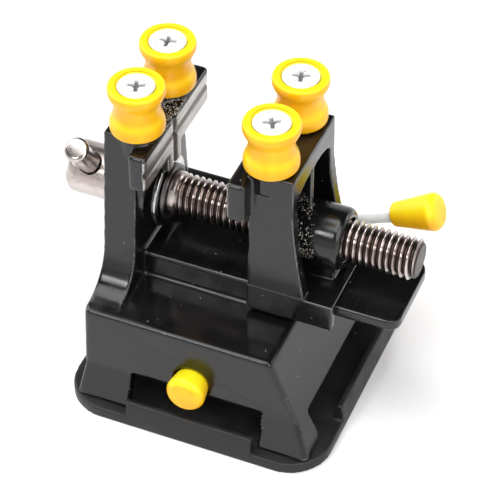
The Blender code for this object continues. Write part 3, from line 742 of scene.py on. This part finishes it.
class VISE_OT_base_casting(ViseOperator, bpy.types.Operator):
    """Build the painted base with its fixed jaw and rail"""
    bl_idname = "vise.base_casting"
    bl_label = "Base Casting"

    def execute(self, context):
        made = cast_shape("base_casting", "base_casting_painted", self.sizes.casting_voxel,
                          self.sizes.casting_softness)
        ready(made, FINISHES["base"], "base", "black_paint", "base_casting", smooth_angle=70)
        return {"FINISHED"}


class VISE_OT_movable_jaw(ViseOperator, bpy.types.Operator):
    """Build the painted jaw that slides on the rail"""
    bl_idname = "vise.movable_jaw"
    bl_label = "Movable Jaw"

    def execute(self, context):
        made = cast_shape("movable_jaw", "movable_jaw_painted", self.sizes.casting_voxel * 0.8,
                          self.sizes.casting_softness, 120000)
        ready(made, FINISHES["jaw"], "jaw", "black_paint", "movable_jaw", smooth_angle=70)
        return {"FINISHED"}


class VISE_OT_pegs(ViseOperator, bpy.types.Operator):
    """Build the four spool-shaped pegs"""
    bl_idname = "vise.pegs"
    bl_label = "Pegs"

    def execute(self, context):
        for jaw, body in (("fixed", "base"), ("moving", "jaw")):
            for side in ("front", "back"):
                self.build_peg(f"peg_{jaw}_{side}", body)
        return {"FINISHED"}

    def build_peg(self, node, body):
        low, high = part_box(node)
        rim = (high.x - low.x) / 2
        top = high.z - low.z
        waist = rim * 0.80
        hole = rim * 0.395
        seat = rim * 0.735
        outer = [(seat, top), (rim * 0.955, top), (rim, top * 0.935), (rim, top * 0.865),
                 (rim * 0.965, top * 0.79), (waist * 1.03, top * 0.66), (waist, top * 0.52),
                 (waist * 1.03, top * 0.38), (rim * 0.94, top * 0.245), (rim * 0.975, top * 0.14),
                 (rim * 0.96, top * 0.03), (rim * 0.88, 0.0)]
        inner = [(hole, 0.0), (hole, top - (seat - hole)), (seat, top - 0.3 * MM)]
        profile = soften(outer, 0.9 * MM) + [Vector(point) for point in inner]
        origin = Vector(((low.x + high.x) / 2, (low.y + high.y) / 2, low.z))
        made = place(turned(profile, self.sizes.steps_round, origin, (0, 0, 1)), node + "_moulded")
        record_curvature(made.data, 1.0 * MM)
        ready(made, FINISHES["plastic"], body, "yellow_plastic", node)


class VISE_OT_peg_screws(ViseOperator, bpy.types.Operator):
    """Build the countersunk screws that hold the pegs"""
    bl_idname = "vise.peg_screws"
    bl_label = "Peg Screws"

    def execute(self, context):
        turns = {"fixed_front": 20, "fixed_back": 8, "moving_front": 28, "moving_back": 17}
        for jaw, body in (("fixed", "base"), ("moving", "jaw")):
            for side in ("front", "back"):
                self.build_screw(f"peg_screw_{jaw}_{side}", body, turns[f"{jaw}_{side}"])
        return {"FINISHED"}

    def build_screw(self, node, body, degrees):
        low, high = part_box(node)
        head = (high.x - low.x) / 2
        length = high.z - low.z
        shank = PEG_SCREW_SHANK
        head_outline = soften([(0, 0), (head * 0.6, -0.0), (head * 0.94, -0.06 * MM),
                               (head, -0.3 * MM), (shank, -0.3 * MM - head + shank)], 0.25 * MM)
        tip = [Vector((shank, -length + 0.4 * MM)), Vector((shank - 0.4 * MM, -length)),
               Vector((0, -length))]
        origin = Vector(((low.x + high.x) / 2, (low.y + high.y) / 2, high.z))
        made = place(turned(head_outline + tip, 64, origin, (0, 0, 1)), node + "_plated")
        width = self.sizes.recess_width
        turn = Matrix.Rotation(math.radians(degrees), 4, "Z")
        tools = []
        for index in range(2):
            bm = block((head * 1.62, width, 3.2 * MM), (0, 0, 0))
            low_faces = [vert for vert in bm.verts if vert.co.z < 0]
            bmesh.ops.scale(bm, vec=(0.30, 0.6, 1), verts=low_faces)
            quarter = Matrix.Rotation(math.radians(90 * index), 4, "Z")
            bmesh.ops.transform(bm, matrix=Matrix.Translation(origin) @ turn @ quarter,
                                verts=bm.verts)
            tools.append(place(bm, f"recess_{index}"))
        bm = bmesh.new()
        bmesh.ops.create_cone(bm, cap_ends=True, segments=8, radius1=0.2 * MM,
                              radius2=head * 0.46, depth=3.4 * MM)
        bmesh.ops.transform(bm, matrix=Matrix.Translation(origin) @ turn, verts=bm.verts)
        tools.append(place(bm, "recess_middle"))
        carve(made, *tools)
        ready(made, FINISHES["zinc"], body, "zinc_plate", node)


class VISE_OT_lead_screw(ViseOperator, bpy.types.Operator):
    """Build the lead screw: its thread, plain shank and cross-drilled head"""
    bl_idname = "vise.lead_screw"
    bl_label = "Lead Screw"

    def execute(self, context):
        head_low, head_high = SCREW_LOW.x, SCREW_LOW.x + HEAD_LENGTH
        head = (SCREW_HIGH.z - SCREW_LOW.z) / 2
        steps = self.sizes.steps_round
        outline = [(0, head_high), (head - 0.3 * MM, head_high), (head, head_high - 0.3 * MM),
                   (head, head_low + 1.1 * MM), (head - 1.0 * MM, head_low), (0, head_low)]
        drum = place(turned(soften(outline, 0.5 * MM), steps, SCREW_AXIS, (1, 0, 0)), "screw_head")
        bar_low, bar_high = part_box("tommy_bar")
        bar_x = (bar_low.x + bar_high.x) / 2
        bm = bmesh.new()
        bmesh.ops.create_cone(bm, cap_ends=True, segments=64, radius1=BAR_HOLE_RADIUS,
                              radius2=BAR_HOLE_RADIUS, depth=30 * MM)
        turn = BAR_AXIS.to_track_quat("Z", "Y").to_matrix().to_4x4()
        centre = Vector((bar_x, 0, SCREW_AXIS.z))
        bmesh.ops.transform(bm, matrix=Matrix.Translation(centre) @ turn, verts=bm.verts)
        carve(drum, place(bm, "bar_hole"))
        ready(drum, FINISHES["nickel"], "screw", "nickel_plate", "lead_screw")

        shank = SHANK_RADIUS
        groove = shank - CLIP_GROOVE_DEPTH
        low, high = CLIP_GROOVE
        outline = [(0, THREAD_START + 0.6 * MM), (groove * 0.98, THREAD_START + 0.6 * MM),
                   (shank, THREAD_START - 0.2 * MM), (shank, high), (groove, high),
                   (groove, low), (shank, low), (shank, head_high - 0.2 * MM),
                   (0, head_high - 0.2 * MM)]
        plain = place(turned(soften(outline, 0.12 * MM), steps, SCREW_AXIS, (1, 0, 0)),
                      "screw_shank")
        ready(plain, FINISHES["nickel"], "screw", "nickel_plate")

        thread = self.build_thread(THREAD_START - 0.1 * MM, SCREW_HIGH.x)
        ready(thread, FINISHES["thread"], "screw", "nickel_plate", smooth_angle=28)
        return {"FINISHED"}

    def build_thread(self, start, end):
        """A helical profile spun along the axis, cut flat and capped at both ends."""
        pitch = self.sizes.thread_pitch
        crest = THREAD_CREST
        root = crest - self.sizes.thread_depth
        profile = [(root, 0.0), (root + 0.02 * MM, pitch * 0.08), (crest - 0.08 * MM, pitch * 0.40),
                   (crest, pitch * 0.46), (crest, pitch * 0.54), (crest - 0.08 * MM, pitch * 0.60),
                   (root + 0.02 * MM, pitch * 0.92), (root, pitch)]
        turns = math.ceil((end - start) / pitch) + 2
        bm = bmesh.new()
        points = [bm.verts.new((r, 0.0, z + start - pitch)) for r, z in profile]
        for pair in zip(points, points[1:]):
            bm.edges.new(pair)
        bmesh.ops.spin(bm, geom=bm.verts[:] + bm.edges[:], cent=(0, 0, 0), axis=(0, 0, 1),
                       dvec=(0, 0, pitch / THREAD_STEPS), angle=2 * math.pi * turns,
                       steps=THREAD_STEPS * turns)
        bmesh.ops.remove_doubles(bm, verts=bm.verts, dist=2e-6)
        for height, side in ((start, -1), (end, 1)):
            bmesh.ops.bisect_plane(bm, geom=bm.verts[:] + bm.edges[:] + bm.faces[:], dist=1e-7,
                                   plane_co=(0, 0, height), plane_no=(0, 0, side),
                                   clear_outer=True)
            rim = [edge for edge in bm.edges if edge.is_boundary
                   and abs(edge.verts[0].co.z - height) < 1e-6]
            bmesh.ops.contextual_create(bm, geom=rim)
        for vert in bm.verts:
            reach = min(vert.co.z - start + 2.0 * MM, end - vert.co.z)
            radius = math.hypot(vert.co.x, vert.co.y)
            most = root - 0.15 * MM + max(reach, 0.0) / THREAD_CHAMFER * self.sizes.thread_depth
            if radius > most:
                vert.co.x *= most / radius
                vert.co.y *= most / radius
        bmesh.ops.recalc_face_normals(bm, faces=bm.faces)
        turn = Vector((1, 0, 0)).to_track_quat("Z", "Y").to_matrix().to_4x4()
        bmesh.ops.transform(bm, matrix=Matrix.Translation(SCREW_AXIS) @ turn, verts=bm.verts)
        return place(bm, "screw_thread")


class VISE_OT_tommy_bar(ViseOperator, bpy.types.Operator):
    """Build the sliding bar in the screw's head"""
    bl_idname = "vise.tommy_bar"
    bl_label = "Tommy Bar"

    def execute(self, context):
        low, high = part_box("tommy_bar")
        centre = Vector(((low.x + high.x) / 2, 0, SCREW_AXIS.z))
        end = (high.x - low.x) / 2
        near, far, body = BAR_NEAR, BAR_FAR, BAR_RADIUS
        outline = [(0, near), (end * 0.80, near), (end, near - 0.45 * MM), (end, near - 1.0 * MM),
                   (body, near - 1.6 * MM), (body, far + 1.6 * MM), (end, far + 1.0 * MM),
                   (end, far + 0.45 * MM), (end * 0.8, far), (0, far)]
        made = place(turned(soften(outline, 0.35 * MM), 64, centre, BAR_AXIS), "tommy_bar_plated")
        ready(made, FINISHES["bar"], "bar", "nickel_plate", "tommy_bar")
        return {"FINISHED"}


class VISE_OT_washer_and_clip(ViseOperator, bpy.types.Operator):
    """Build the thrust washer and the open clip beside it"""
    bl_idname = "vise.washer_and_clip"
    bl_label = "Washer and Clip"

    def execute(self, context):
        low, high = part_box("thrust_washer")
        washer = self.build_ring("thrust_washer_plated", low, high, (high.z - low.z) / 2,
                                 WASHER_BORE, 0.35 * MM)
        ready(washer, FINISHES["chrome"], "base", "chrome_plate", "thrust_washer")

        low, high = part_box("retaining_clip")
        clip = self.build_ring("retaining_clip_steel", low, high, (high.y - low.y) / 2,
                               CLIP_BORE, 0.12 * MM)
        origin = Vector((low.x, 0, SCREW_AXIS.z))
        mouth = place(block((4 * MM, 3.6 * MM, 9 * MM), origin - Vector((0, 0, 4.5 * MM))),
                      "clip_mouth")
        carve(clip, mouth)
        ready(clip, FINISHES["clip"], "screw", "spring_steel", "retaining_clip")
        return {"FINISHED"}

    def build_ring(self, name, low, high, outer, bore, rounding):
        thick = high.x - low.x
        outline = soften([(bore, thick / 2), (bore, thick), (outer, thick), (outer, 0),
                          (bore, 0), (bore, thick / 2)], rounding)
        origin = Vector((low.x, 0, SCREW_AXIS.z))
        return place(turned(outline[:-1], self.sizes.steps_round, origin, (1, 0, 0)), name)


class VISE_OT_lever(ViseOperator, bpy.types.Operator):
    """Build the bent lever rod and the yellow caps on its two ends"""
    bl_idname = "vise.lever"
    bl_label = "Lever"

    def execute(self, context):
        rod = ROD_RADIUS
        plane = ROD_HIGH.y - rod
        along = Vector((math.cos(LEVER_ANGLE), 0, math.sin(LEVER_ANGLE)))
        corner = Vector((LEVER_SHAFT.x, plane, LEVER_SHAFT.z))
        bend = ROD_BEND
        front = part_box("shaft_cap")[0].y
        route = [Vector((LEVER_SHAFT.x, front + ROD_SET_BACK, LEVER_SHAFT.z))]
        for step in range(17):
            turn = math.radians(90 * step / 16)
            route.append(corner + Vector((0, -bend * (1 - math.sin(turn)), 0))
                         + along * bend * (1 - math.cos(turn)))
        route.append(corner + along * (LEVER_REACH - ROD_SET_BACK))
        curve = bpy.data.curves.new("lever_rod_route", "CURVE")
        curve.dimensions = "3D"
        curve.bevel_depth = rod
        curve.bevel_resolution = 10
        curve.use_fill_caps = True
        spline = curve.splines.new("POLY")
        spline.points.add(len(route) - 1)
        for point, spot in zip(spline.points, route):
            point.co = (*spot, 1.0)
        source = bpy.data.objects.new("lever_rod_route", curve)
        bpy.context.scene.collection.objects.link(source)
        bpy.context.view_layer.update()
        graph = bpy.context.evaluated_depsgraph_get()
        bm = bmesh.new()
        bm.from_mesh(bpy.data.meshes.new_from_object(source.evaluated_get(graph)))
        bmesh.ops.remove_doubles(bm, verts=bm.verts, dist=1e-6)
        bmesh.ops.recalc_face_normals(bm, faces=bm.faces)
        bpy.data.objects.remove(source, do_unlink=True)
        # the rod's near-white colour is a painted highlight over its chrome
        made = place(bm, "lever_rod_chrome_painted_highlight")
        ready(made, FINISHES["rod"], "lever", "chrome_plate", "lever_rod")

        self.build_cap("lever_cap", corner + along * LEVER_REACH, along)
        self.build_cap("shaft_cap", Vector((LEVER_SHAFT.x, front, LEVER_SHAFT.z)), (0, -1, 0))
        return {"FINISHED"}

    def build_cap(self, node, tip, axis):
        length, neck, end, socket = CAP_LENGTH, CAP_NECK, CAP_END, CAP_SOCKET
        outline = [(0, 0), (end * 0.45, -0.05 * MM), (end * 0.82, -0.35 * MM),
                   (end * 0.985, -1.5 * MM), (end * 0.97, -2.4 * MM),
                   (neck + 0.1 * MM, -length + 0.4 * MM), (neck - 0.3 * MM, -length),
                   (socket, -length), (socket, -SOCKET_TOP), (0, -SOCKET_TOP)]
        made = place(turned(soften(outline, 0.9 * MM, 6), self.sizes.steps_round, tip, axis),
                     node + "_moulded")
        record_curvature(made.data, 1.0 * MM)
        ready(made, FINISHES["cap"], "lever", "yellow_plastic", node)


class VISE_OT_suction_pad(ViseOperator, bpy.types.Operator):
    """Build the rubber pad with its four tabs"""
    bl_idname = "vise.suction_pad"
    bl_label = "Suction Pad"

    def execute(self, context):
        made = cast_shape("suction_pad", "suction_pad_rubber", 0.34 * MM, 5, 110000)
        ready(made, FINISHES["rubber"], "base", "rubber", "suction_pad", smooth_angle=70)
        return {"FINISHED"}


class VISE_OT_mechanism(ViseOperator, bpy.types.Operator):
    """Finish the cam and the pad's stem inside the base"""
    bl_idname = "vise.mechanism"
    bl_label = "Cam and Stem"

    def execute(self, context):
        for node, finish in (("lever_cam", "cam"), ("pad_stem", "stem")):
            for material_slot in frame["nodes"][node].material_slots:
                material_slot.material = FINISHES[finish]
        return {"FINISHED"}


# ---------------------------------------------------------------- stage

class VISE_OT_stage(ViseOperator, bpy.types.Operator):
    """Lay the floor and set the lights and the camera"""
    bl_idname = "vise.stage"
    bl_label = "Stage"

    def execute(self, context):
        bm = bmesh.new()
        bmesh.ops.create_grid(bm, x_segments=4, y_segments=4, size=1.6)
        bmesh.ops.translate(bm, vec=(0, 0, CAD_BOX[0].z), verts=bm.verts)
        floor = place(bm, "floor")
        finish = Finish("floor_paper", self.colours.floor, 0.0, 0.75)
        noise = finish.pattern("grain", **{"Wave Scale": 12.0})
        colour = tuple(self.colours.floor)
        finish.feed("Base Color", finish.mix(noise["Wave"], shade(colour, 0.985),
                                             shade(colour, 1)))
        finish.feed("Normal", finish.bump(noise["Height"], 0.03, 0.0002))
        floor.data.materials.append(finish.material)

        world = bpy.data.worlds.new("studio")
        world.use_nodes = True
        nodes, links = world.node_tree.nodes, world.node_tree.links
        split = nodes.new("ShaderNodeSeparateXYZ")
        links.new(nodes.new("ShaderNodeTexCoord").outputs["Generated"], split.inputs[0])
        fade = nodes.new("ShaderNodeMapRange")
        fade.interpolation_type = "SMOOTHSTEP"
        links.new(split.outputs[2], fade.inputs["Value"])
        for title, number in (("From Min", 0.25), ("From Max", 0.60), ("To Min", 0.95),
                              ("To Max", 0.05)):
            fade.inputs[title].default_value = number
        background = nodes["Background"]
        background.inputs["Color"].default_value = (1.0, 1.0, 1.0, 1.0)
        links.new(fade.outputs["Result"], background.inputs["Strength"])
        bpy.context.scene.world = world
        target = Vector((0.0, 0.0, 0.03))
        self.light("soft_left", (-0.85, 0.10, 0.90), target, 0.9, 9.0)
        self.light("soft_right", (0.70, -0.45, 0.80), target, 0.9, 8.0)
        self.light("soft_top", (-0.10, -0.20, 1.15), target, 0.8, 8.0)
        self.light("edge_front", (-0.31, -0.76, 0.78), target, 0.22, 2.2)
        self.light("edge_right", (0.75, 0.72, 0.34), target, 0.30, 1.5)
        self.camera()
        bpy.context.scene.view_settings.view_transform = "Standard"
        return {"FINISHED"}

    def light(self, name, spot, target, size, power):
        lamp = bpy.data.lights.new(name, "AREA")
        lamp.shape = "SQUARE"
        lamp.size = size
        lamp.energy = power
        made = bpy.data.objects.new(name, lamp)
        made.location = spot
        made.rotation_mode = "QUATERNION"
        made.rotation_quaternion = (target - Vector(spot)).to_track_quat("-Z", "Y")
        bpy.context.scene.collection.objects.link(made)

    def camera(self):
        azimuth, elevation, roll = math.radians(22.40), math.radians(43.48), math.radians(0.16)
        target = Vector((2.56, -2.39, 33.94)) * MM
        back = Vector((math.sin(azimuth) * math.cos(elevation),
                       -math.cos(azimuth) * math.cos(elevation), math.sin(elevation)))
        right = Vector((math.cos(azimuth), math.sin(azimuth), 0))
        upward = back.cross(right)
        tilted_right = right * math.cos(roll) + upward * math.sin(roll)
        tilted_up = upward * math.cos(roll) - right * math.sin(roll)
        lens = bpy.data.cameras.new("studio_camera")
        lens.lens = 172.14
        lens.sensor_width = 36.0
        lens.clip_start = 0.05
        lens.clip_end = 20.0
        made = bpy.data.objects.new("studio_camera", lens)
        turn = Matrix((tilted_right, tilted_up, back)).transposed().to_4x4()
        made.matrix_world = Matrix.Translation(target + back * 526.3 * MM) @ turn
        bpy.context.scene.collection.objects.link(made)
        bpy.context.scene.camera = made


OPERATORS = (VISE_OT_finishes, VISE_OT_base_casting, VISE_OT_movable_jaw, VISE_OT_pegs,
             VISE_OT_peg_screws, VISE_OT_lead_screw, VISE_OT_tommy_bar, VISE_OT_washer_and_clip,
             VISE_OT_lever, VISE_OT_suction_pad, VISE_OT_mechanism, VISE_OT_stage)


class VISE_PT_sidebar(bpy.types.Panel):
    """Buttons that build the vise piece by piece"""
    bl_label = "Vise"
    bl_idname = "VISE_PT_sidebar"
    bl_space_type = "VIEW_3D"
    bl_region_type = "UI"
    bl_category = "Vise"

    def draw(self, context):
        for group in (context.scene.vise_sizes, context.scene.vise_finishes):
            column = self.layout.column()
            for name in group.__annotations__:
                column.prop(group, name)
        for operator in OPERATORS:
            self.layout.operator(operator.bl_idname)


CLASSES = (ViseSizes, ViseFinishes, *OPERATORS, VISE_PT_sidebar)


def register():
    for item in CLASSES:
        bpy.utils.register_class(item)
    bpy.types.Scene.vise_sizes = bpy.props.PointerProperty(type=ViseSizes)
    bpy.types.Scene.vise_finishes = bpy.props.PointerProperty(type=ViseFinishes)


def unregister():
    del bpy.types.Scene.vise_finishes
    del bpy.types.Scene.vise_sizes
    for item in reversed(CLASSES):
        bpy.utils.unregister_class(item)


def main():
    register()
    bpy.ops.vise.finishes()
    bpy.ops.vise.base_casting()
    bpy.ops.vise.movable_jaw()
    bpy.ops.vise.pegs()
    bpy.ops.vise.peg_screws()
    bpy.ops.vise.lead_screw()
    bpy.ops.vise.tommy_bar()
    bpy.ops.vise.washer_and_clip()
    bpy.ops.vise.lever()
    bpy.ops.vise.suction_pad()
    bpy.ops.vise.mechanism()
    bpy.ops.vise.stage()


if __name__ == "__main__":
    main()
